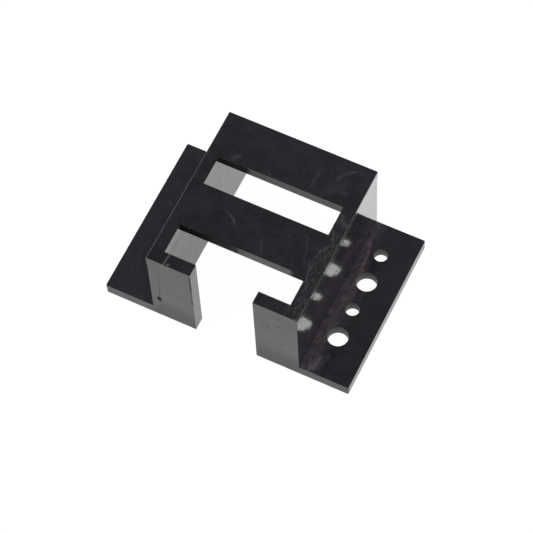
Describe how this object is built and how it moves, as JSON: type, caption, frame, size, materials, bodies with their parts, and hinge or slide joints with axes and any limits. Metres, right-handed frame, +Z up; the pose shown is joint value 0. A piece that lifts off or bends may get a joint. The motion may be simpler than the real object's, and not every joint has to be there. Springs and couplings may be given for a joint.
{
  "type": "motor mount",
  "caption": "Saddle bracket that drops over a small flat-sided motor and screws down through a drilled foot along each side, with windows in its top plate.",
  "frame": {"origin": "centre of the base, on the surface that the mount is screwed to", "axes": "+X across the motor, +Y along its shaft from the nose gap to the open back, +Z up from the base"},
  "size_m": [0.04, 0.027, 0.017],
  "materials": {
    "black_plastic": "glossy moulded black with fine handling scratches"
  },
  "bodies": {
    "root": {"motor_mount": "black_plastic"}
  },
  "joints": []
}
